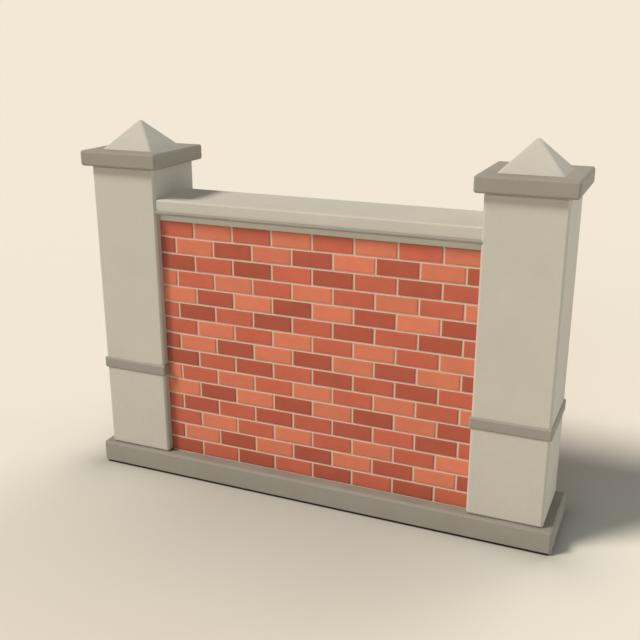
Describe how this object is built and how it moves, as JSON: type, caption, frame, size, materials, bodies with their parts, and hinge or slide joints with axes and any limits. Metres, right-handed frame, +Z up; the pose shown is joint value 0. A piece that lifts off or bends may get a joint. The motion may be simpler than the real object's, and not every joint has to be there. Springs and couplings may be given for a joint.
{
  "type": "brick garden wall bay with stone piers",
  "caption": "Garden wall bay: coursed red brickwork with a stone coping between two stone piers with banded shafts, slab caps and pyramid tops, all on a long stone plinth.",
  "frame": {"origin": "on the ground under the middle of the wall, at the centre of the plinth's underside", "axes": "+X along the wall towards the right pier, +Y through the wall to the back, +Z up"},
  "size_m": [2.356, 0.437, 1.787],
  "materials": {
    "pale_stone": "matte",
    "dark_stone": "matte",
    "brickwork": "matte",
    "mortar": "matte"
  },
  "bodies": {
    "root": {"plinth": "dark_stone", "course_01": "brickwork", "course_02": "brickwork", "course_03": "brickwork", "course_04": "brickwork", "course_05": "brickwork", "course_06": "brickwork", "course_07": "brickwork", "course_08": "brickwork", "course_09": "brickwork", "course_10": "brickwork", "course_11": "brickwork", "course_12": "brickwork", "course_13": "brickwork", "course_14": "brickwork", "course_15": "brickwork", "coping_bed": "pale_stone", "drip_course": "dark_stone", "coping": "pale_stone", "left_pier_lower_shaft": "pale_stone", "left_pier_band": "dark_stone", "left_pier_upper_shaft": "pale_stone", "left_pier_cap": "dark_stone", "left_pier_pyramid": "pale_stone", "right_pier_lower_shaft": "pale_stone", "right_pier_band": "dark_stone", "right_pier_upper_shaft": "pale_stone", "right_pier_cap": "dark_stone", "right_pier_pyramid": "pale_stone"}
  },
  "joints": []
}
